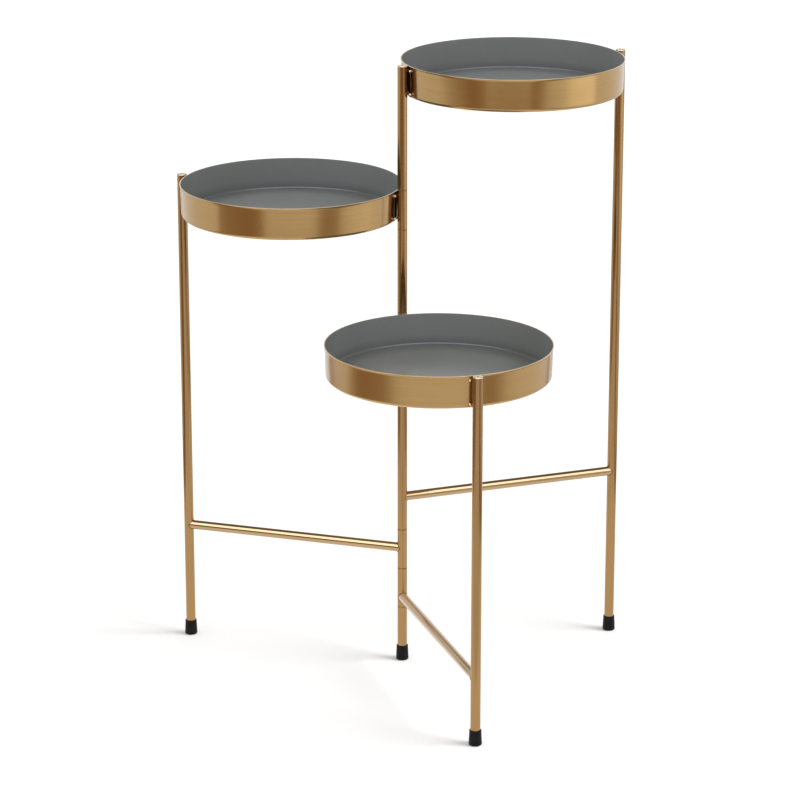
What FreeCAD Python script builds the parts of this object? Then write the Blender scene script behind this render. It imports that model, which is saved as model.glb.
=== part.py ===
import FreeCAD, Part
import os
import Sketcher
from FreeCAD import Rotation, Vector

# Tiered plant stand: three frames of round tube swing about one upright post. Each frame carries a
# shallow round tray between its post sleeve and its leg. Millimetres, +Z up, the origin under the
# middle of the post's foot, and each frame's angle counted from +X towards +Y.

doc = FreeCAD.newDocument("tiered_plant_stand")

SIZES = (
    ("high_height", 711, "floor to the top of the high frame's leg and of the post"),
    ("middle_height", 568, "floor to the top of the middle frame's leg"),
    ("low_height", 425, "floor to the top of the low frame's leg"),
    ("high_angle", 21, "direction of the high frame, degrees"),
    ("middle_angle", 162, "direction of the middle frame, degrees"),
    ("low_angle", -72.5, "direction of the low frame, degrees"),
    ("tube_diameter", 11.4, "outside of legs, sleeves and base tube"),
    ("tube_wall", 1.2, "wall of legs, sleeves and base tube"),
    ("tube_edge", 0.3, "edge broken at the ends of a tube"),
    ("rod_clearance", 0.05, "radial play between the pivot rod and the sleeves"),
    ("rod_end_gap", 0.4, "play between the pivot rod and the plug above it"),
    ("rod_edge", 0.8, "chamfer at the ends of the pivot rod"),
    ("seam_gap", 0.3, "play between two sleeves stacked on the post"),
    ("tray_diameter", 255, "tray over its rim"),
    ("tray_height", 37, "tray from its underside to its rim"),
    ("tray_sheet", 1.0, "thickness of the tray's sheet"),
    ("tray_taper", 1.1, "how much the wall's radius grows from the underside to the lip"),
    ("tray_corner", 4.0, "outer rounding between the wall and the underside"),
    ("tray_inner_corner", 3.0, "inner rounding between the wall and the floor"),
    ("lip_flare", 0.9, "how far the rim stands out from the wall"),
    ("lip_height", 2.6, "height of the flared rim"),
    ("rim_gap", 0.65, "gap between the rim and the tubes beside it"),
    ("rim_drop", 0.8, "top of the leg down to the rim"),
    ("pin_diameter", 3.0, "short cross pins that hold a tray between its tubes"),
    ("pin_length", 13.5, "length of those pins, level and across the tube"),
    ("pin_inset_top", 5.3, "rim down to the upper pins"),
    ("pin_inset_base", 5.2, "underside of the tray up to the lower pins"),
    ("sleeve_rise", 1.0, "top of a tray's sleeve above the top of its frame's leg"),
    ("sleeve_tail", 7.2, "length of a tray's sleeve below the tray"),
    ("base_tube_top", 67, "floor to the top of the fixed tube at the foot of the post"),
    ("bar_sleeve_length", 48, "pitch of the sleeves that carry the crossbars"),
    ("bar_diameter", 11.0, "outside of the crossbars"),
    ("bar_wall", 1.2, "wall of the crossbars"),
    ("high_bar_rise", 39.5, "middle of the high crossbar above the bottom of its sleeve"),
    ("middle_bar_rise", 24.5, "middle of the middle crossbar above the bottom of its sleeve"),
    ("low_bar_rise", 12, "middle of the low crossbar above the bottom of its sleeve"),
    ("foot_height", 18, "rubber foot from the floor to its collar"),
    ("foot_floor", 4, "rubber under the end of a tube"),
    ("foot_diameter", 15.0, "rubber foot at the floor"),
    ("foot_collar_wall", 1.0, "rubber round the tube at the collar"),
    ("foot_rounding", 1.8, "rounding of the foot at the floor"),
    ("foot_collar_rounding", 0.4, "rounding of the collar's outer edge"),
    ("plug_head", 1.4, "height of the cap over the end of a tube"),
    ("plug_stem", 8, "length of the plug inside the tube"),
    ("plug_rounding", 0.9, "rounding of the cap's edge"),
    ("dimple_diameter", 2.4, "dimple in the middle of the cap"),
    ("dimple_depth", 1.2, "depth of that dimple"),
)

sheet = doc.addObject("Spreadsheet::Sheet", "Sizes")
for row, (alias, value, meaning) in enumerate(SIZES, 1):
    sheet.set(f"A{row}", alias)
    sheet.set(f"B{row}", str(value))
    sheet.set(f"C{row}", meaning)
    sheet.setAlias(f"B{row}", alias)
doc.recompute()

# Sizes that follow from the sheet, as expressions.
TUBE_BORE = "(Sizes.tube_diameter - 2 * Sizes.tube_wall)"
SPAN = "(Sizes.tray_diameter + 2 * Sizes.rim_gap + Sizes.tube_diameter)"
TRAY_SLEEVE = "(Sizes.sleeve_rise + Sizes.rim_drop + Sizes.tray_height + Sizes.sleeve_tail)"
WALL_TOP = "(Sizes.tray_diameter / 2 - Sizes.lip_flare)"
WALL_BASE = f"({WALL_TOP} - Sizes.tray_taper)"
LIP_BASE = "(Sizes.tray_height - Sizes.lip_height)"
LIP_ROUNDING = "0.45 * Sizes.tray_sheet"  # almost a full round over the sheet's edge
ROD_TOP = "(Sizes.high_height - Sizes.plug_head - Sizes.plug_stem - Sizes.rod_end_gap)"

# Heights of the seams between the tubes stacked on the post, from the floor up.
LOW_BAR_SEAM = "Sizes.base_tube_top"
MIDDLE_BAR_SEAM = f"({LOW_BAR_SEAM} + Sizes.bar_sleeve_length)"
HIGH_BAR_SEAM = f"({MIDDLE_BAR_SEAM} + Sizes.bar_sleeve_length)"
LOW_TRAY_TOP = "(Sizes.low_height + Sizes.sleeve_rise)"
LOW_TRAY_SEAM = f"({LOW_TRAY_TOP} - {TRAY_SLEEVE})"
MIDDLE_TRAY_TOP = "(Sizes.middle_height + Sizes.sleeve_rise)"
MIDDLE_TRAY_SEAM = f"({MIDDLE_TRAY_TOP} - {TRAY_SLEEVE})"

# Each tube on the post: name, lower seam, upper seam.
POST_TUBES = (
    ("base_tube", "Sizes.foot_floor", LOW_BAR_SEAM),
    ("low_lower_sleeve", LOW_BAR_SEAM, MIDDLE_BAR_SEAM),
    ("middle_lower_sleeve", MIDDLE_BAR_SEAM, HIGH_BAR_SEAM),
    ("high_lower_sleeve", HIGH_BAR_SEAM, LOW_TRAY_SEAM),
    ("low_upper_sleeve", LOW_TRAY_SEAM, LOW_TRAY_TOP),
    ("post_spacer_sleeve", LOW_TRAY_TOP, MIDDLE_TRAY_SEAM),
    ("middle_upper_sleeve", MIDDLE_TRAY_SEAM, MIDDLE_TRAY_TOP),
)

BAR_HEIGHTS = {
    "high": f"({HIGH_BAR_SEAM} + Sizes.high_bar_rise)",
    "middle": f"({MIDDLE_BAR_SEAM} + Sizes.middle_bar_rise)",
    "low": f"({LOW_BAR_SEAM} + Sizes.low_bar_rise)",
}

PINS_PER_TRAY = 4
sub_parts = []


def place(piece, radius, height, angle="0"):
    """Sets a piece at a radius from the post and a height, turned about the post by an angle."""
    turn = f"({angle}) * 1 deg"
    base = f"vector(({radius}) * cos({turn}); ({radius}) * sin({turn}); {height})"
    piece.setExpression("Placement", f"placement({base}; rotation(vector(0; 0; 1); {angle}))")


def new_body(name):
    body = doc.addObject("PartDesign::Body", name)
    body.Label = name
    sub_parts.append(body)
    return body


def new_sketch(body, plane_role):
    """A sketch on one of the body's own origin planes."""
    sketch = body.newObject("Sketcher::SketchObject", f"{body.Label}_{plane_role}_sketch")
    plane = next(item for item in body.Origin.OriginFeatures if item.Role == plane_role)
    sketch.AttachmentSupport = [(plane, "")]
    sketch.MapMode = "FlatFace"
    return sketch


def bind(sketch, index, name, expression):
    sketch.renameConstraint(index, name)
    sketch.setExpression(f"Constraints.{name}", expression)


def add_circle(sketch, name, diameter, centre_x=None):
    """A circle about the sketch's origin, or about a point along its horizontal axis."""
    start = Vector(0, 0, 0) if centre_x is None else Vector(10, 0, 0)
    circle = sketch.addGeometry(Part.Circle(start, Vector(0, 0, 1), 1))
    if centre_x is None:
        sketch.addConstraint(Sketcher.Constraint("Coincident", circle, 3, -1, 1))
    else:
        sketch.addConstraint(Sketcher.Constraint("PointOnObject", circle, 3, -1))
        distance = sketch.addConstraint(Sketcher.Constraint("DistanceX", -1, 1, circle, 3, 10))
        bind(sketch, distance, f"{name}_centre", centre_x)
    size = sketch.addConstraint(Sketcher.Constraint("Diameter", circle, 2))
    bind(sketch, size, f"{name}_diameter", diameter)


def add_outline(sketch, corners):
    """A closed outline of straight lines. A corner is (radius, height), and None keeps it on the axis."""
    count = len(corners)
    rough = [Vector(index, index * index, 0) for index in range(count)]
    for index in range(count):
        sketch.addGeometry(Part.LineSegment(rough[index], rough[(index + 1) % count]))
    for index in range(count):
        following = (index + 1) % count
        sketch.addConstraint(Sketcher.Constraint("Coincident", index, 2, following, 1))
    for index, (radius, height) in enumerate(corners):
        for kind, expression, axis in (("DistanceX", radius, -2), ("DistanceY", height, -1)):
            if expression is None:
                sketch.addConstraint(Sketcher.Constraint("PointOnObject", index, 1, axis))
            else:
                size = sketch.addConstraint(Sketcher.Constraint(kind, -1, 1, index, 1, 1))
                bind(sketch, size, f"{kind}_{index}", expression)


def pad(body, sketch, length):
    feature = body.newObject("PartDesign::Pad", f"{body.Label}_pad")
    feature.Profile = sketch
    feature.setExpression("Length", length)
    doc.recompute()
    return feature


def revolve(body, sketch):
    """Turns an outline, drawn on the XZ plane, once round the piece's own upright axis."""
    feature = body.newObject("PartDesign::Revolution", f"{body.Label}_revolution")
    feature.Profile = sketch
    feature.ReferenceAxis = (sketch, ["V_Axis"])
    feature.Angle = 360
    doc.recompute()
    return feature


def rings(feature):
    """Names of the level circular edges of a round piece, sorted by height and then by radius."""
    found = []
    for number, edge in enumerate(feature.Shape.Edges, 1):
        if isinstance(edge.Curve, Part.Circle) and abs(edge.Curve.Axis.z) > 0.999:
            found.append((round(edge.Curve.Center.z, 4), edge.Curve.Radius, f"Edge{number}"))
    return [name for _, _, name in sorted(found)]


def dress_edges(body, kind, name, edges, property_name, size):
    """Adds a fillet or a chamfer on edges of the body's last feature."""
    base = body.Tip
    feature = body.newObject(f"PartDesign::{kind}", f"{body.Label}_{name}")
    feature.Base = (base, edges)
    feature.setExpression(property_name, size)
    doc.recompute()
    return feature


def make_tube(name, length, outside="Sizes.tube_diameter", bore=TUBE_BORE):
    """An upright tube with its outer end edges broken."""
    body = new_body(name)
    section = new_sketch(body, "XY_Plane")
    add_circle(section, "outside", outside)
    add_circle(section, "bore", bore)
    tube = pad(body, section, length)
    ends = rings(tube)
    outer_ends = [ends[1], ends[-1]]
    dress_edges(body, "Chamfer", "end_edges", outer_ends, "Size", "Sizes.tube_edge")
    return body


def make_rod():
    """The steel rod inside the post that every sleeve turns on, from the foot to the top plug."""
    body = new_body("pivot_rod")
    section = new_sketch(body, "XY_Plane")
    add_circle(section, "rod", f"{TUBE_BORE} - 2 * Sizes.rod_clearance")
    rod = pad(body, section, f"{ROD_TOP} - Sizes.foot_floor")
    dress_edges(body, "Chamfer", "end_edges", rings(rod), "Size", "Sizes.rod_edge")
    place(body, "0", "Sizes.foot_floor")


def make_plug(name, radius, top, angle="0"):
    """A plug in the open end of a tube, with a rounded cap and a dimple in its middle."""
    body = new_body(name)
    cap_top = "Sizes.plug_stem + Sizes.plug_head"
    outline = new_sketch(body, "XZ_Plane")
    add_outline(
        outline,
        (
            (None, None),
            (f"{TUBE_BORE} / 2", None),
            (f"{TUBE_BORE} / 2", "Sizes.plug_stem"),
            ("Sizes.tube_diameter / 2", "Sizes.plug_stem"),
            ("Sizes.tube_diameter / 2", cap_top),
            ("Sizes.dimple_diameter / 2", cap_top),
            ("Sizes.dimple_diameter / 2", f"{cap_top} - Sizes.dimple_depth"),
            (None, f"{cap_top} - Sizes.dimple_depth"),
        ),
    )
    plug = revolve(body, outline)
    dress_edges(body, "Fillet", "cap_edge", [rings(plug)[-1]], "Radius", "Sizes.plug_rounding")
    place(body, radius, f"{top} - Sizes.plug_head - Sizes.plug_stem", angle)


def make_foot(name, radius, angle="0"):
    """A rubber cup on the lower end of a tube, a little wider at the floor than at its collar."""
    body = new_body(name)
    collar = "Sizes.tube_diameter / 2 + Sizes.foot_collar_wall"
    outline = new_sketch(body, "XZ_Plane")
    add_outline(
        outline,
        (
            (None, None),
            ("Sizes.foot_diameter / 2", None),
            (collar, "Sizes.foot_height"),
            ("Sizes.tube_diameter / 2", "Sizes.foot_height"),
            ("Sizes.tube_diameter / 2", "Sizes.foot_floor"),
            (None, "Sizes.foot_floor"),
        ),
    )
    cup = revolve(body, outline)
    dress_edges(body, "Fillet", "floor_edge", [rings(cup)[0]], "Radius", "Sizes.foot_rounding")
    collar_edge = rings(body.Tip)[-1]
    dress_edges(body, "Fillet", "collar_edge", [collar_edge], "Radius", "Sizes.foot_collar_rounding")
    place(body, radius, "0", angle)


def make_leg(frame, angle):
    """The frame's outer tube, from the rubber foot up to its plug."""
    top = f"Sizes.{frame}_height"
    body = make_tube(f"{frame}_leg", f"{top} - Sizes.plug_head - Sizes.foot_floor")
    place(body, SPAN, "Sizes.foot_floor", angle)
    make_plug(f"{frame}_leg_plug", SPAN, top, angle)
    make_foot(f"{frame}_leg_foot", SPAN, angle)


def make_crossbar(frame, angle):
    """A level tube from the post sleeve to the leg, its ends coped round them."""
    body = new_body(f"{frame}_crossbar")
    section = new_sketch(body, "YZ_Plane")
    add_circle(section, "outside", "Sizes.bar_diameter")
    add_circle(section, "bore", "Sizes.bar_diameter - 2 * Sizes.bar_wall")
    bar = pad(body, section, SPAN)
    copes = new_sketch(body, "XY_Plane")
    add_circle(copes, "post", "Sizes.tube_diameter")
    add_circle(copes, "leg", "Sizes.tube_diameter", SPAN)
    pocket = body.newObject("PartDesign::Pocket", f"{frame}_crossbar_copes")
    pocket.Profile = copes
    pocket.Midplane = True
    pocket.setExpression("Length", "2 * Sizes.bar_diameter")
    doc.recompute()
    if pocket.Shape.Volume >= bar.Shape.Volume:
        raise RuntimeError(f"the ends of {body.Label} are not coped")
    place(body, "0", BAR_HEIGHTS[frame], angle)


def make_tray(frame, base_height, angle):
    """A pan of thin sheet: flat floor, slightly tapered wall and a flared lip."""
    body = new_body(f"{frame}_tray")
    outline = new_sketch(body, "XZ_Plane")
    add_outline(
        outline,
        (
            (None, None),
            (WALL_BASE, None),
            (WALL_TOP, LIP_BASE),
            ("Sizes.tray_diameter / 2", "Sizes.tray_height"),
            ("Sizes.tray_diameter / 2 - Sizes.tray_sheet", "Sizes.tray_height"),
            (f"{WALL_TOP} - Sizes.tray_sheet", LIP_BASE),
            (f"{WALL_BASE} - Sizes.tray_sheet", "Sizes.tray_sheet"),
            (None, "Sizes.tray_sheet"),
        ),
    )
    pan = revolve(body, outline)
    lip = rings(pan)[-2:]
    dress_edges(body, "Fillet", "lip_edge", lip, "Radius", LIP_ROUNDING)
    floor_ring = rings(body.Tip)[1]
    dress_edges(body, "Fillet", "inner_corner", [floor_ring], "Radius", "Sizes.tray_inner_corner")
    base_ring = rings(body.Tip)[0]
    dress_edges(body, "Fillet", "outer_corner", [base_ring], "Radius", "Sizes.tray_corner")
    place(body, f"{SPAN} / 2", base_height, angle)


def make_tray_pins(frame, base_height, angle):
    """The short level pins that cross the tubes in the gaps between them and the tray's wall.

    The tubes and the tray are cut out of the pins, so each pin fits the gap that it bridges.
    """
    pins = []
    for level, height in (
        ("lower", "Sizes.pin_inset_base"),
        ("upper", "(Sizes.tray_height - Sizes.pin_inset_top)"),
    ):
        wall = f"({WALL_BASE} + Sizes.tray_taper * {height} / {LIP_BASE})"
        gap_middle = f"(({SPAN} / 2 - {wall} + Sizes.tube_diameter / 2) / 2)"
        for side, distance in (("post", gap_middle), ("leg", f"{SPAN} - {gap_middle}")):
            pin = doc.addObject("Part::Cylinder", f"{frame}_{level}_{side}_pin")
            pin.setExpression("Radius", "Sizes.pin_diameter / 2")
            pin.setExpression("Height", "Sizes.pin_length")
            pin.Placement.Rotation = Rotation(Vector(1, 0, 0), 90)
            pin.setExpression("Placement.Base.x", distance)
            pin.setExpression("Placement.Base.y", "Sizes.pin_length / 2")
            pin.setExpression("Placement.Base.z", height)
            pins.append(pin)
    left = doc.addObject("Part::Compound", f"{frame}_whole_pins")
    left.Links = pins

    cutters = []
    for side, centre in (("post", "0"), ("leg", SPAN)):
        tube = doc.addObject("Part::Cylinder", f"{frame}_{side}_tube_space")
        tube.setExpression("Radius", "Sizes.tube_diameter / 2")
        tube.setExpression("Height", "Sizes.tray_height")
        tube.setExpression("Placement.Base.x", centre)
        cutters.append(tube)
    tray = doc.addObject("Part::Cone", f"{frame}_tray_space")
    tray.setExpression("Radius1", WALL_BASE)
    tray.setExpression("Radius2", WALL_TOP)
    tray.setExpression("Height", LIP_BASE)
    tray.setExpression("Placement.Base.x", f"{SPAN} / 2")
    cutters.append(tray)

    for cutter in cutters:
        cut = doc.addObject("Part::Cut", f"{cutter.Name}_removed")
        cut.Base = left
        cut.Tool = cutter
        left = cut
    left.Label = f"{frame}_tray_pins"
    place(left, "0", base_height, angle)
    sub_parts.append(left)


def make_post():
    """The stack of fixed tubes and turning sleeves on the rod, its foot and its top plug."""
    make_rod()
    for name, lower_seam, upper_seam in POST_TUBES:
        tube = make_tube(name, f"{upper_seam} - {lower_seam} - Sizes.seam_gap")
        place(tube, "0", lower_seam)
    top_tube = make_tube("high_upper_sleeve", f"Sizes.high_height - Sizes.plug_head - {MIDDLE_TRAY_TOP}")
    place(top_tube, "0", MIDDLE_TRAY_TOP)
    make_plug("post_plug", "0", "Sizes.high_height")
    make_foot("post_foot", "0")


def make_frame(frame):
    """One swinging frame: its leg, crossbar, tray and the pins that hold the tray."""
    angle = f"Sizes.{frame}_angle"
    tray_base = f"Sizes.{frame}_height - Sizes.rim_drop - Sizes.tray_height"
    make_leg(frame, angle)
    make_crossbar(frame, angle)
    make_tray(frame, tray_base, angle)
    make_tray_pins(frame, tray_base, angle)


def check_document():
    """Stops before anything is written if a feature failed or a sub-part isn't whole."""
    for item in doc.Objects:
        if "Invalid" in item.State or "Error" in item.State:
            raise RuntimeError(f"{item.Label} failed: {item.State}")
    for piece in sub_parts:
        if piece.Shape.isNull() or not piece.Shape.isValid():
            raise RuntimeError(f"{piece.Label} has no valid shape")
        expected = PINS_PER_TRAY if piece.Label.endswith("_tray_pins") else 1
        if len(piece.Shape.Solids) != expected:
            raise RuntimeError(f"{piece.Label} has {len(piece.Shape.Solids)} solids")


make_post()
for frame_name in ("high", "middle", "low"):
    make_frame(frame_name)
doc.recompute()
check_document()

os.makedirs("parts", exist_ok=True)
for piece in sub_parts:
    piece.Shape.exportStep(f"parts/{piece.Label}.step")
    print(f"{piece.Label}: {piece.Shape.Volume:.0f} mm3")
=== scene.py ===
import itertools
import math

import bmesh
import bpy
from mathutils import Matrix, Vector


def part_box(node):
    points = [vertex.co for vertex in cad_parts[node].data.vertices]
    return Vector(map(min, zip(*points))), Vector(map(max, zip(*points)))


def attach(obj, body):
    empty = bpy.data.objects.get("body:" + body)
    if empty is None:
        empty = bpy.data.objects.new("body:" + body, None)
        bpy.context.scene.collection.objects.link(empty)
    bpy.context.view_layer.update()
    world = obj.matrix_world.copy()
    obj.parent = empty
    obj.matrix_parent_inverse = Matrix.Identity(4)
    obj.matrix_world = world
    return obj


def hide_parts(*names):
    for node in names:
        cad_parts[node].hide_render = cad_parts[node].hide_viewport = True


# Looks of the tiered plant stand: brushed gold tube frames, two-tone trays and rubber feet round the
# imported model. Metres, +Z up, the origin under the middle of the post's foot.

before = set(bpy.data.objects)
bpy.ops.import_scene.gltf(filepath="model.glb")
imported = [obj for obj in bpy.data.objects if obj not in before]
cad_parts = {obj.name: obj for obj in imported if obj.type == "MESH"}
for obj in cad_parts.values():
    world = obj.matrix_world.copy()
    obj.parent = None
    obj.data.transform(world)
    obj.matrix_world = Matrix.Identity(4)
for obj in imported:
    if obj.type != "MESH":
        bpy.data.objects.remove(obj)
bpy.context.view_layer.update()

MM = 0.001
FRAMES = ("high", "middle", "low")
BODIES = {name: f"{name}_frame" for name in FRAMES}

# Sizes repeated from the model's source, in millimetres.
TUBE_RADIUS = 5.7
BAR_RADIUS = 5.5
TRAY_HEIGHT = 37.0
TRAY_SHEET = 1.0
TRAY_CORNER = 4.0
WALL_BASE_RADIUS = 125.5
WALL_TOP_RADIUS = 126.6
RIM_RADIUS = 127.5
LIP_BASE = 34.4
SPAN = 267.7
PIN_RADIUS = 1.5
FRAME_ANGLES = {"high": 21.0, "middle": 162.0, "low": -72.5}

# Sizes of what is modelled only here, in millimetres.
INNER_CORNER = 2.2
RIM_HEM = 1.5
RIM_ROUNDING = 0.25
FLOOR_RING_RADIUS = 60.0
WELD_RADIUS = 0.6
BEAD_RADIUS = 1.6
BEAD_FROM_TUBE_AXIS = 6.8
BEAD_ASIDE = 6.3

# The height of a bead as a share of its width, and how finely the round shapes are divided.
BEAD_FLATTENING = 0.92
BEAD_SUBDIVISIONS = 3
TRAY_SEGMENTS = 240
CORNER_STEPS = 8
WELD_STEPS = 40

# Linear colours. A gold's colours and its roughness have a deep and a light end of the brushing, and
# the lacquer on it has a weight and an index.
TRAY_GOLD = ((0.430, 0.266, 0.100, 1.0), (0.485, 0.310, 0.122, 1.0))
TUBE_GOLD = ((0.335, 0.192, 0.071, 1.0), (0.380, 0.222, 0.086, 1.0))
BAR_GOLD = ((0.385, 0.235, 0.089, 1.0), (0.435, 0.274, 0.108, 1.0))
TUBE_GLOSS = (0.20, 0.14)
BAR_GLOSS = (0.16, 0.10)
TRAY_GLOSS = (0.24, 0.18)
THIN_COAT = (0.35, 1.5)
THICK_COAT = (1.0, 1.7)
COAT_ROUGHNESS = 0.12
# Painted highlight: a pale gold that makes the pin beads glint and the top of the rim show as a light line;
# the plugs in the tube tops get it too.
GLINT_GOLD = (0.88, 0.72, 0.50, 1.0)
# Painted shade: dark gold for the weld beads round the crossbars' ends, standing in for the shade in those
# joints.
SEAM_SHADE_GOLD = (0.22, 0.13, 0.05, 1.0)
WELD_SHADE = 0.7
# Painted shade: near black, for the strips of a tray's wall that lie in the shade behind a tube.
CREVICE_SHADE = (0.020, 0.010, 0.003, 1.0)
SLATE_LIGHT = (0.232, 0.245, 0.236, 1.0)
SLATE_DEEP = (0.205, 0.219, 0.211, 1.0)
# Painted shade for the corner of a pan, where its floor meets its wall.
SLATE_CORNER_SHADE = (0.160, 0.170, 0.165, 1.0)
RUBBER_LIGHT = (0.0085, 0.0080, 0.0080, 1.0)
RUBBER_DEEP = (0.0040, 0.0038, 0.0038, 1.0)
STEEL_LIGHT = (0.52, 0.52, 0.53, 1.0)
STEEL_DEEP = (0.40, 0.40, 0.41, 1.0)
WHITE = (1.0, 1.0, 1.0, 1.0)

# How fine the brushing is along each axis of a piece: coarse along the brushing, fine across it.
UPRIGHT_GRAIN = (1500.0, 1500.0, 12.0)
TRAY_GRAIN = (6.0, 6.0, 1900.0)
BAR_GRAIN = (12.0, 1500.0, 1500.0)
ROD_GRAIN = (900.0, 900.0, 12.0)

# Where painted shade darkens a tray, in millimetres: on the wall near a tube, counted along the frame from
# the tray's middle, on a strip on both sides of the frame's plane, and in the corner of the pan, by
# radius and height. The strip at the leg has a share of the depth of the one at the post.
NEAR_TUBE = (120.0, 122.0)
LEG_SHADE_STRIP = (2.4, 5.2)
LEG_SHADE_SHARE = 0.3
POST_SHADE_STRIP = (4.6, 6.2)
CORNER_RADII = (92.0, 124.0)
CORNER_HEIGHTS = (2.0, 14.0)

# The studio that the reflections show. Each edge in it is a span of a direction's x, y or z.
BELOW_COLOUR = (0.39, 0.26, 0.165, 1.0)
GAP_COLOUR = (0.22, 0.20, 0.18, 1.0)
BACKDROP = (0.95, 0.95, 0.95, 1.0)
FRONT_BOX = (3.2, 3.35, 3.8, 1.0)
HORIZON = (-0.04, 0.0)
GAP_BASE = (-0.04, 0.10)
BACKDROP_DEPTH = (0.0, 0.4)
BACKDROP_TOP = (0.38, 0.52)
RIGHT_SIDE = (0.45, 0.8)
RIGHT_TOP = (0.35, 0.6)
BOX_BASE = (0.27, 0.40)
BOX_TOP = (0.86, 0.97)
BOX_DEPTH = (-0.30, -0.10)

# White sheets just under the floor, shown by reflections only: name, glow and corners in metres.
PAPER_GLOW = 0.95
NEAR_GLOW = 1.15
LAMP_GLOW = 1.45
LOWEST_SHEET = -0.010
SHEET_STEP = 0.002
REFLECTED_SHEETS = (
    (
        "paper",
        PAPER_GLOW,
        (
            (-0.95, -2.12),
            (0.4, -2.22),
            (0.74, -2.22),
            (0.72, -1.1),
            (0.8, 0.0),
            (0.8, 20.0),
            (-0.95, 20.0),
            (-0.8, -0.7),
        ),
    ),
    (
        "right_board",
        PAPER_GLOW,
        ((0.95, -0.1), (1.15, -0.85), (1.36, -1.2), (1.42, -4.0), (20.0, -12.0), (20.0, 20.0), (0.95, 20.0)),
    ),
    (
        "left_back_board",
        PAPER_GLOW,
        ((-20.0, -0.45), (-2.1, -0.45), (-1.34, -0.12), (-0.97, 0.2), (-0.97, 20.0), (-20.0, 20.0)),
    ),
    (
        "left_front_board",
        PAPER_GLOW,
        ((-20.0, -0.45), (-20.0, -8.0), (-2.1, -2.2), (-2.3, -1.3), (-2.1, -0.45)),
    ),
    (
        "lit_board",
        LAMP_GLOW,
        ((1.95, -0.75), (2.5, -2.1), (6.0, -2.1), (6.0, 0.1), (1.95, 0.1)),
    ),
    (
        "near_paper",
        NEAR_GLOW,
        ((-0.75, -0.45), (0.75, -0.45), (0.75, 0.5), (-0.75, 0.5)),
    ),
)

# The floor in metres, and the window beside it, whose width is an angle in degrees.
FLOOR_REACH = 14.0
FLOOR_COLOUR = (0.65, 0.65, 0.65, 1.0)
FLOOR_GLOW = 0.08
WINDOW_STRENGTH = 3.4
WINDOW_ANGLE = 36.0
WINDOW_DIRECTION = (0.78, -0.18, 0.60)

# The camera: millimetres for the lens, metres for places and degrees for the pitch below level.
LENS = 143.5
SENSOR_WIDTH = 36.0
CAMERA_PLACE = (-0.0027, -3.513, 1.404)
CAMERA_PITCH = 17.15
CAMERA_NEAR = 0.1
CAMERA_FAR = 60.0


# ---------------------------------------------------------------- materials


class Graph:
    """Adds and joins the nodes of one node tree."""

    def __init__(self, owner):
        owner.use_nodes = True
        self.tree = owner.node_tree
        self.tree.nodes.clear()

    def add(self, kind, inputs=None, **settings):
        """A node with its settings and inputs. An input is a plain value or another node's socket."""
        node = self.tree.nodes.new(kind)
        for name, value in settings.items():
            setattr(node, name, value)
        for name, value in (inputs or {}).items():
            self.feed(node.inputs[name], value)
        return node

    def feed(self, socket, value):
        if isinstance(value, bpy.types.NodeSocket):
            self.tree.links.new(value, socket)
        else:
            socket.default_value = value

    def math(self, operation, first, second=0.0):
        return self.add("ShaderNodeMath", {0: first, 1: second}, operation=operation).outputs[0]

    def product(self, first, second):
        return self.math("MULTIPLY", first, second)

    def span(self, value, low, high, start=0.0, end=1.0):
        """Maps low..high of a value smoothly to start..end."""
        inputs = {"Value": value, "From Min": low, "From Max": high, "To Min": start, "To Max": end}
        node = self.add("ShaderNodeMapRange", inputs, interpolation_type="SMOOTHSTEP")
        return node.outputs["Result"]

    def falling(self, value, low, high):
        """1 below low and 0 above high."""
        return self.span(value, low, high, 1.0, 0.0)

    def mix(self, share, first, second):
        """A colour between two colours."""
        node = self.add("ShaderNodeMix", data_type="RGBA")
        for name, value in (("Factor_Float", share), ("A_Color", first), ("B_Color", second)):
            self.feed(next(item for item in node.inputs if item.identifier == name), value)
        return next(item for item in node.outputs if item.identifier == "Result_Color")

    def place(self, turn=0.0, scale=(1.0, 1.0, 1.0)):
        """Coordinates of the piece, turned about the upright axis and then stretched."""
        coordinates = self.add("ShaderNodeTexCoord").outputs["Object"]
        turned = self.add("ShaderNodeMapping", {"Vector": coordinates, "Rotation": (0.0, 0.0, turn)})
        stretched = self.add("ShaderNodeMapping", {"Vector": turned.outputs[0], "Scale": scale})
        return stretched.outputs[0]

    def axes(self, vector):
        return self.add("ShaderNodeSeparateXYZ", {0: vector}).outputs

    def noise(self, vector, scale=1.0, detail=2.0, roughness=0.5):
        inputs = {"Vector": vector, "Scale": scale, "Detail": detail, "Roughness": roughness}
        return self.add("ShaderNodeTexNoise", inputs).outputs["Fac"]

    def blend(self, first, second, share):
        """The first value at its share plus the second at the rest."""
        weighted = self.product(first, share)
        return self.math("ADD", weighted, self.product(second, 1.0 - share))

    def bump(self, height, strength, distance):
        inputs = {"Height": height, "Strength": strength, "Distance": distance}
        return self.add("ShaderNodeBump", inputs).outputs["Normal"]

    def surface(self, inputs):
        self.show("ShaderNodeOutputMaterial", self.add("ShaderNodeBsdfPrincipled", inputs))

    def show(self, output, shader):
        self.add(output, {"Surface": shader.outputs[0]})


def new_graph(name):
    material = bpy.data.materials.new(name)
    return material, Graph(material)


def in_metres(sizes):
    return tuple(size * MM for size in sizes)


def shaded(colour, share):
    """A colour with its light cut to a share."""
    return (*(value * share for value in colour[:3]), 1.0)


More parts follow.
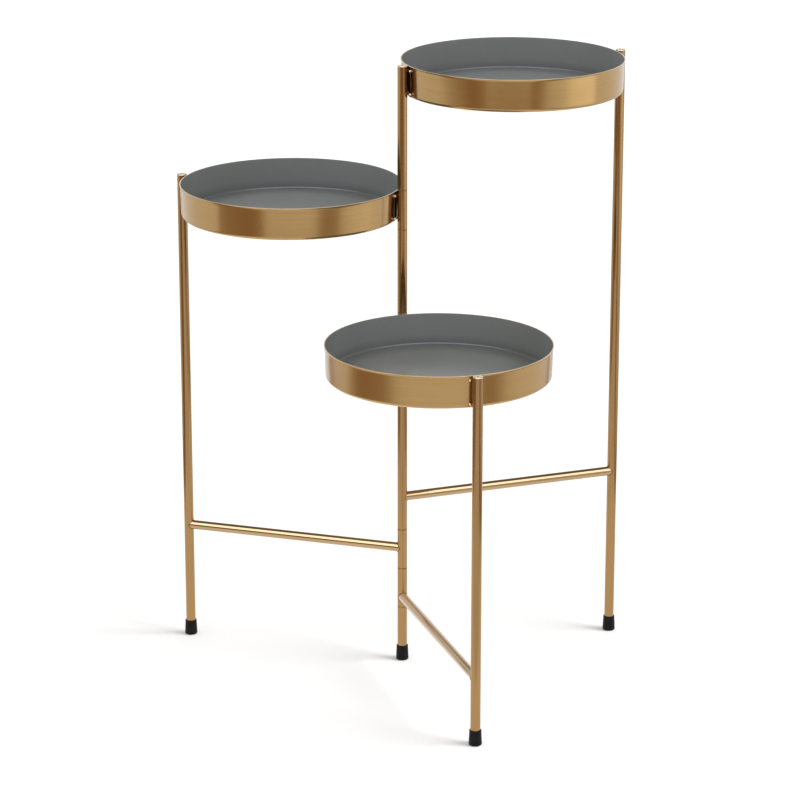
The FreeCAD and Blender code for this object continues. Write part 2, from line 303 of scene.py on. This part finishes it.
def brushed_gold(name, grain, colours, gloss, coat, turn=0.0, anisotropy=0.0, crevice_shade=False):
    """Lacquered brushed metal. The turn brings a piece's own axes in line with its frame."""
    material, graph = new_graph(name)
    hairlines = graph.noise(graph.place(turn, grain), detail=2.0, roughness=0.7)
    patches = graph.noise(graph.place(), scale=7.0, detail=2.0)
    tone = graph.blend(hairlines, patches, share=0.7)
    settings = {
        "Base Color": graph.mix(graph.span(tone, 0.30, 0.70), *colours),
        "Metallic": 1.0,
        "Roughness": graph.span(tone, 0.30, 0.70, *gloss),
        "Specular IOR Level": 0.0,
        "Coat Weight": coat[0],
        "Coat IOR": coat[1],
        "Coat Roughness": COAT_ROUGHNESS,
        "Normal": graph.bump(hairlines, strength=0.08, distance=0.00004),
    }
    # Painted shade: behind the tubes the wall turns near black, rough, not metallic and without lacquer.
    if crevice_shade:
        shade_share = tube_shade_strips(graph, turn)
        unshaded = graph.math("SUBTRACT", 1.0, shade_share)
        settings["Base Color"] = graph.mix(shade_share, settings["Base Color"], CREVICE_SHADE)
        settings["Metallic"] = unshaded
        settings["Coat Weight"] = graph.product(unshaded, coat[0])
        settings["Roughness"] = graph.math("MAXIMUM", settings["Roughness"], shade_share)
    if anisotropy:
        settings["Anisotropic"] = anisotropy
        settings["Anisotropic Rotation"] = 0.25
        settings["Tangent"] = graph.add("ShaderNodeTangent", direction_type="RADIAL", axis="Z").outputs[0]
    graph.surface(settings)
    return material


def tube_shade_strips(graph, turn):
    """Painted shade: high on the strips of a tray's wall close behind a tube, most of all at the post."""
    along, across, _ = graph.axes(graph.place(turn))
    aside = graph.math("ABSOLUTE", across)
    start, full = in_metres(NEAR_TUBE)
    leg_side = graph.span(along, start, full, 0.0, LEG_SHADE_SHARE)
    post_side = graph.falling(along, -full, -start)
    at_leg = graph.product(leg_side, graph.falling(aside, *in_metres(LEG_SHADE_STRIP)))
    at_post = graph.product(post_side, graph.falling(aside, *in_metres(POST_SHADE_STRIP)))
    return graph.math("MAXIMUM", at_leg, at_post)


def pan_corner_shade(graph):
    """Painted shade: high in a pan's corner, where its floor meets its wall."""
    x, y, height = graph.axes(graph.place())
    squares = graph.math("ADD", graph.math("POWER", x, 2.0), graph.math("POWER", y, 2.0))
    outwards = graph.span(graph.math("SQRT", squares), *in_metres(CORNER_RADII))
    return graph.product(outwards, graph.falling(height, *in_metres(CORNER_HEIGHTS)))


def slate_paint(name):
    """Satin slate paint with a faint spray texture, with painted shade in the corner of the pan."""
    material, graph = new_graph(name)
    spray = graph.noise(graph.place(), scale=900.0, detail=2.0)
    patches = graph.noise(graph.place(), scale=14.0, detail=3.0)
    share = graph.span(graph.blend(spray, patches, share=0.35), 0.35, 0.65)
    paint = graph.mix(share, SLATE_DEEP, SLATE_LIGHT)
    graph.surface(
        {
            "Base Color": graph.mix(pan_corner_shade(graph), paint, SLATE_CORNER_SHADE),
            "Roughness": graph.span(share, 0.0, 1.0, 0.27, 0.25),
            "Specular IOR Level": 0.5,
            "Normal": graph.bump(spray, strength=0.05, distance=0.00002),
        }
    )
    return material


def weld_metal(name, light):
    """Smooth lacquered metal, less brushed than the tubes."""
    material, graph = new_graph(name)
    ripple = graph.noise(graph.place(), scale=1200.0, detail=2.0)
    graph.surface(
        {
            "Base Color": graph.mix(graph.span(ripple, 0.35, 0.65), shaded(light, WELD_SHADE), light),
            "Metallic": 1.0,
            "Roughness": graph.span(ripple, 0.3, 0.7, 0.38, 0.28),
            "Coat Weight": 0.5,
            "Coat Roughness": COAT_ROUGHNESS,
            "Normal": graph.bump(ripple, strength=0.3, distance=0.0001),
        }
    )
    return material


def rubber(name):
    material, graph = new_graph(name)
    grain = graph.noise(graph.place(), scale=1500.0, detail=2.0)
    dust = graph.noise(graph.place(), scale=160.0, detail=4.0)
    graph.surface(
        {
            "Base Color": graph.mix(graph.span(dust, 0.4, 0.7), RUBBER_DEEP, RUBBER_LIGHT),
            "Roughness": graph.span(dust, 0.3, 0.7, 0.42, 0.55),
            "Specular IOR Level": 0.12,
            "Normal": graph.bump(grain, strength=0.3, distance=0.0001),
        }
    )
    return material


def drawn_steel(name):
    material, graph = new_graph(name)
    grain = graph.noise(graph.place(scale=ROD_GRAIN), detail=3.0)
    graph.surface(
        {
            "Base Color": graph.mix(grain, STEEL_DEEP, STEEL_LIGHT),
            "Metallic": 1.0,
            "Roughness": graph.span(grain, 0.3, 0.7, 0.32, 0.24),
            "Normal": graph.bump(grain, strength=0.2, distance=0.00005),
        }
    )
    return material


# ---------------------------------------------------------------- pieces


def add_object(name, data):
    """A new object in the scene."""
    piece = bpy.data.objects.new(name, data)
    bpy.context.scene.collection.objects.link(piece)
    return piece


def arc_corner(before, corner, after, radius):
    """Points of the rounding that replaces a corner of an outline."""
    if radius == 0:
        return [corner.copy()]
    back = (before - corner).normalized()
    ahead = (after - corner).normalized()
    half = back.angle(ahead) / 2
    centre = corner + (back + ahead).normalized() * (radius / math.sin(half))
    start = corner + back * (radius / math.tan(half)) - centre
    end = corner + ahead * (radius / math.tan(half)) - centre
    sweep = start.angle(end)
    points = []
    for step in range(CORNER_STEPS + 1):
        turned = sweep * step / CORNER_STEPS
        from_start = start * (math.sin(sweep - turned) / math.sin(sweep))
        from_end = end * (math.sin(turned) / math.sin(sweep))
        points.append(centre + from_start + from_end)
    return points


def rounded_outline(corners):
    """An open outline of (radius, height, rounding) corners with its roundings worked out."""
    spots = [Vector((radius, height)) for radius, height, _ in corners]
    outline = []
    for index, (_, _, rounding) in enumerate(corners):
        before = spots[max(index - 1, 0)]
        after = spots[min(index + 1, len(spots) - 1)]
        outline.extend(arc_corner(before, spots[index], after, rounding))
    return outline


def revolved_vertices(outline):
    """The first point on the axis, a ring for each point between, and the last point on the axis."""
    vertices = [(0.0, 0.0, outline[0].y)]
    for point in outline[1:-1]:
        for step in range(TRAY_SEGMENTS):
            angle = 2 * math.pi * step / TRAY_SEGMENTS
            vertices.append((point.x * math.cos(angle), point.x * math.sin(angle), point.y))
    vertices.append((0.0, 0.0, outline[-1].y))
    return vertices


def revolved_faces(rings):
    """Faces between an axis point, the rings and the other axis point, in the vertices' order."""
    neighbours = [(step, (step + 1) % TRAY_SEGMENTS) for step in range(TRAY_SEGMENTS)]
    faces = [(0, 1 + following, 1 + step) for step, following in neighbours]
    for ring in range(rings - 1):
        inner = 1 + ring * TRAY_SEGMENTS
        outer = inner + TRAY_SEGMENTS
        for step, following in neighbours:
            faces.append((inner + step, inner + following, outer + following, outer + step))
    start = 1 + (rings - 1) * TRAY_SEGMENTS
    last = start + TRAY_SEGMENTS
    faces.extend((start + step, start + following, last) for step, following in neighbours)
    return faces


def revolve(name, outline, materials, material_of):
    """A round smooth piece from an outline in millimetres that starts and ends on the axis."""
    vertices = [in_metres(vertex) for vertex in revolved_vertices(outline)]
    mesh = bpy.data.meshes.new(name)
    mesh.from_pydata(vertices, [], revolved_faces(len(outline) - 2))
    for material in materials:
        mesh.materials.append(material)
    for polygon in mesh.polygons:
        polygon.use_smooth = True
        polygon.material_index = material_of(polygon)
    mesh.update()
    piece = add_object(name, mesh)
    weighted = piece.modifiers.new("even_normals", "WEIGHTED_NORMAL")
    weighted.weight = 100
    return piece


def tray_outline():
    """The section of a tray's sheet, from the underside's middle over the rim to the floor's middle."""
    corners = (
        (0.0, 0.0, 0.0),
        (FLOOR_RING_RADIUS, 0.0, 0.0),
        (WALL_BASE_RADIUS, 0.0, TRAY_CORNER),
        (WALL_TOP_RADIUS, LIP_BASE, 0.0),
        (RIM_RADIUS, TRAY_HEIGHT, RIM_ROUNDING),
        (RIM_RADIUS - RIM_HEM, TRAY_HEIGHT, RIM_ROUNDING),
        (WALL_TOP_RADIUS - TRAY_SHEET, LIP_BASE, 0.0),
        (WALL_BASE_RADIUS - TRAY_SHEET, TRAY_SHEET, INNER_CORNER),
        (FLOOR_RING_RADIUS, TRAY_SHEET, 0.0),
        (0.0, TRAY_SHEET, 0.0),
    )
    return rounded_outline(corners)


def tray_material_of(polygon):
    """0 for the gold outside, 1 for the painted inside and 2 for the top of the rim."""
    paint_edge = (RIM_RADIUS - 0.8 * RIM_HEM) * MM
    centre = polygon.center
    facing_up = polygon.normal.z > 0.5
    if facing_up and math.hypot(centre.x, centre.y) > paint_edge:
        return 2
    inwards = polygon.normal.x * centre.x + polygon.normal.y * centre.y < 0
    above_underside = centre.z > 0.5 * TRAY_SHEET * MM
    return 1 if (facing_up or inwards) and above_underside else 0


def make_tray(name, gold, slate, rim):
    """A pan of thin sheet, gold outside and slate inside, its origin under its middle."""
    piece = revolve(f"{name}_tray_pan", tray_outline(), (gold, slate, rim), tray_material_of)
    low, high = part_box(f"{name}_tray")
    piece.location = ((low.x + high.x) / 2, (low.y + high.y) / 2, low.z)
    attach(piece, BODIES[name])
    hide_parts(f"{name}_tray")


def frame_point(name, along, aside, height):
    """A place in a frame, in metres, from millimetres along the frame, aside from it and up."""
    angle = math.radians(FRAME_ANGLES[name])
    x = along * math.cos(angle) - aside * math.sin(angle)
    y = along * math.sin(angle) + aside * math.cos(angle)
    return Vector((x * MM, y * MM, height * MM))


def bar_weld_points(name, tube, facing, bar_height):
    """The line where a crossbar's round end meets a round tube, facing along or against the frame."""
    points = []
    for step in range(WELD_STEPS):
        turn = 2 * math.pi * step / WELD_STEPS
        aside = BAR_RADIUS * math.cos(turn)
        rise = BAR_RADIUS * math.sin(turn)
        reach = math.sqrt(TUBE_RADIUS**2 - aside**2)
        points.append(frame_point(name, tube + facing * reach, aside, bar_height + rise))
    return points


def make_bar_welds(name, metal):
    """A thin bead of weld round each end of a frame's crossbar, where it meets the tube."""
    low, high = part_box(f"{name}_crossbar")
    bar_height = (low.z + high.z) / 2 / MM
    for side, tube, facing in (("post", 0.0, 1.0), ("leg", SPAN, -1.0)):
        curve = bpy.data.curves.new(f"{name}_{side}_weld", "CURVE")
        curve.dimensions = "3D"
        curve.bevel_depth = WELD_RADIUS * MM
        curve.bevel_resolution = 3
        curve.use_fill_caps = True
        spline = curve.splines.new("POLY")
        spline.points.add(WELD_STEPS - 1)
        for point, place in zip(spline.points, bar_weld_points(name, tube, facing, bar_height)):
            point.co = (*place, 1.0)
        spline.use_cyclic_u = True
        curve.materials.append(metal)
        bead = add_object(curve.name, curve)
        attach(bead, BODIES[name])


def make_pin_welds(name, metal):
    """Rounded beads on the ends of the pins between a frame's tray and its tubes."""
    low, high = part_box(f"{name}_tray_pins")
    heights = (low.z / MM + PIN_RADIUS, high.z / MM - PIN_RADIUS)
    distances = (BEAD_FROM_TUBE_AXIS, SPAN - BEAD_FROM_TUBE_AXIS)
    flatten = Matrix.Diagonal((1.0, 1.0, BEAD_FLATTENING, 1.0))
    mesh = bpy.data.meshes.new(f"{name}_pin_welds")
    form = bmesh.new()
    for height, along, aside in itertools.product(heights, distances, (-BEAD_ASIDE, BEAD_ASIDE)):
        place = Matrix.Translation(frame_point(name, along, aside, height))
        bead = {"subdivisions": BEAD_SUBDIVISIONS, "radius": BEAD_RADIUS * MM}
        bmesh.ops.create_icosphere(form, matrix=place @ flatten, **bead)
    for face in form.faces:
        face.smooth = True
    form.to_mesh(mesh)
    form.free()
    mesh.materials.append(metal)
    beads = add_object(mesh.name, mesh)
    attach(beads, BODIES[name])


# ---------------------------------------------------------------- stage, light and camera


def only_reflected(piece):
    """Keeps a staged piece out of everything but the reflections on the object."""
    piece.visible_camera = False
    piece.visible_diffuse = False
    piece.visible_shadow = False
    piece.visible_transmission = False
    piece.visible_volume_scatter = False


def staged_sheet(name, corners, height, material):
    """A flat level sheet of the studio, from its corners in metres."""
    mesh = bpy.data.meshes.new(name)
    mesh.from_pydata([(x, y, height) for x, y in corners], [], [tuple(range(len(corners)))])
    mesh.materials.append(material)
    sheet = add_object(name, mesh)
    return sheet


def glowing(name, strength):
    """A white glow."""
    material, graph = new_graph(name)
    glow = graph.add("ShaderNodeEmission", {"Color": WHITE, "Strength": strength})
    graph.show("ShaderNodeOutputMaterial", glow)
    return material


def floor_paint():
    """Matt pale paint with a little glow of its own."""
    material, graph = new_graph("studio_floor")
    graph.surface(
        {
            "Base Color": FLOOR_COLOUR,
            "Roughness": 1.0,
            "Specular IOR Level": 0.0,
            "Emission Color": WHITE,
            "Emission Strength": FLOOR_GLOW,
        }
    )
    return material


def make_stage():
    """A pale floor, and the white sheets that only the reflections show in its place."""
    reach = FLOOR_REACH
    corners = ((-reach, -reach), (reach, -reach), (reach, reach), (-reach, reach))
    floor = staged_sheet("floor", corners, 0.0, floor_paint())
    floor.visible_glossy = False
    for order, (name, strength, outline) in enumerate(REFLECTED_SHEETS):
        glow = glowing(f"{name}_glow", strength)
        height = LOWEST_SHEET + SHEET_STEP * order
        only_reflected(staged_sheet(f"{name}_in_reflections", outline, height, glow))
    return floor


def collection_of(name, members):
    group = bpy.data.collections.new(name)
    for member in members:
        group.objects.link(member)
    return group


def make_lights(floor):
    """A low side window that only gives the feet their soft shadows on the floor."""
    data = bpy.data.lights.new("side_window", "SUN")
    data.energy = WINDOW_STRENGTH
    data.angle = math.radians(WINDOW_ANGLE)
    window = add_object("side_window", data)
    window.rotation_euler = Vector(WINDOW_DIRECTION).to_track_quat("Z", "Y").to_euler()
    window.visible_glossy = False
    uprights = [node for name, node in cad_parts.items() if not name.endswith("_tray")]
    window.light_linking.receiver_collection = collection_of("lit_by_window", [floor])
    window.light_linking.blocker_collection = collection_of("window_shadows", uprights)


def reflected_studio(graph):
    """What the object reflects: a backdrop, a light side, a bright front box and dark gaps."""
    x, y, z = graph.axes(graph.add("ShaderNodeTexCoord").outputs["Generated"])
    behind = graph.product(graph.span(y, *BACKDROP_DEPTH), graph.falling(z, *BACKDROP_TOP))
    right = graph.product(graph.span(x, *RIGHT_SIDE), graph.falling(z, *RIGHT_TOP))
    open_side = graph.product(graph.span(z, *HORIZON), graph.math("MAXIMUM", behind, right))
    dark = graph.mix(graph.span(z, *GAP_BASE), BELOW_COLOUR, GAP_COLOUR)
    lit = graph.mix(open_side, dark, BACKDROP)
    at_height = graph.product(graph.span(z, *BOX_BASE), graph.falling(z, *BOX_TOP))
    in_front = graph.product(at_height, graph.falling(y, *BOX_DEPTH))
    return graph.mix(in_front, lit, FRONT_BOX)


def make_world():
    """White to the camera and to diffuse light, and a studio to reflections."""
    world = bpy.data.worlds.new("studio")
    bpy.context.scene.world = world
    graph = Graph(world)
    studio = graph.add("ShaderNodeBackground", {"Color": reflected_studio(graph), "Strength": 1.0})
    white = graph.add("ShaderNodeBackground", {"Color": WHITE, "Strength": 1.0})
    reflected = graph.add("ShaderNodeLightPath").outputs["Is Glossy Ray"]
    inputs = {0: reflected, 1: white.outputs[0], 2: studio.outputs[0]}
    graph.show("ShaderNodeOutputWorld", graph.add("ShaderNodeMixShader", inputs))


def make_camera():
    """A long lens from the front, pitched down, at the photograph's viewing angle."""
    data = bpy.data.cameras.new("camera")
    data.sensor_width = SENSOR_WIDTH
    data.lens = LENS
    data.clip_start = CAMERA_NEAR
    data.clip_end = CAMERA_FAR
    camera = add_object("camera", data)
    camera.location = CAMERA_PLACE
    camera.rotation_euler = (math.radians(90 - CAMERA_PITCH), 0.0, 0.0)
    bpy.context.scene.camera = camera


# ---------------------------------------------------------------- the stand

upright_gold = brushed_gold("gold_uprights", UPRIGHT_GRAIN, TUBE_GOLD, TUBE_GLOSS, THIN_COAT)
slate = slate_paint("slate_tray_inside")
# Painted highlight: pale gold for the pin beads, the top of each rim and the plugs.
glint_gold = weld_metal("gold_weld_glint", GLINT_GOLD)
# The crossbars' weld beads are coloured dark as painted shade of the joints.
seam_shade_gold = weld_metal("gold_seam_shade", SEAM_SHADE_GOLD)
foot_rubber = rubber("black_rubber")
rod_steel = drawn_steel("drawn_steel")
bar_gold = {}
tray_gold = {}
for key, angle in FRAME_ANGLES.items():
    turn = -math.radians(angle)
    bar_gold[key] = brushed_gold(f"gold_{key}_bar", BAR_GRAIN, BAR_GOLD, BAR_GLOSS, THICK_COAT, turn)
    tray_gold[key] = brushed_gold(
        f"gold_{key}_tray", TRAY_GRAIN, TRAY_GOLD, TRAY_GLOSS, THIN_COAT, turn, anisotropy=0.4, crevice_shade=True
    )


def finish_of(name):
    """The finish of a node that is carried over from the model."""
    if name == "pivot_rod":
        return rod_steel
    if name.endswith("_foot"):
        return foot_rubber
    if name.endswith("_plug"):
        return glint_gold
    if name.endswith("_crossbar"):
        return bar_gold[name.split("_")[0]]
    return upright_gold


for name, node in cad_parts.items():
    node.material_slots[0].material = finish_of(name)
for name in FRAMES:
    make_tray(name, tray_gold[name], slate, glint_gold)
    make_bar_welds(name, seam_shade_gold)
    make_pin_welds(name, glint_gold)
make_lights(make_stage())
make_world()
make_camera()
bpy.context.scene.view_settings.view_transform = "Standard"
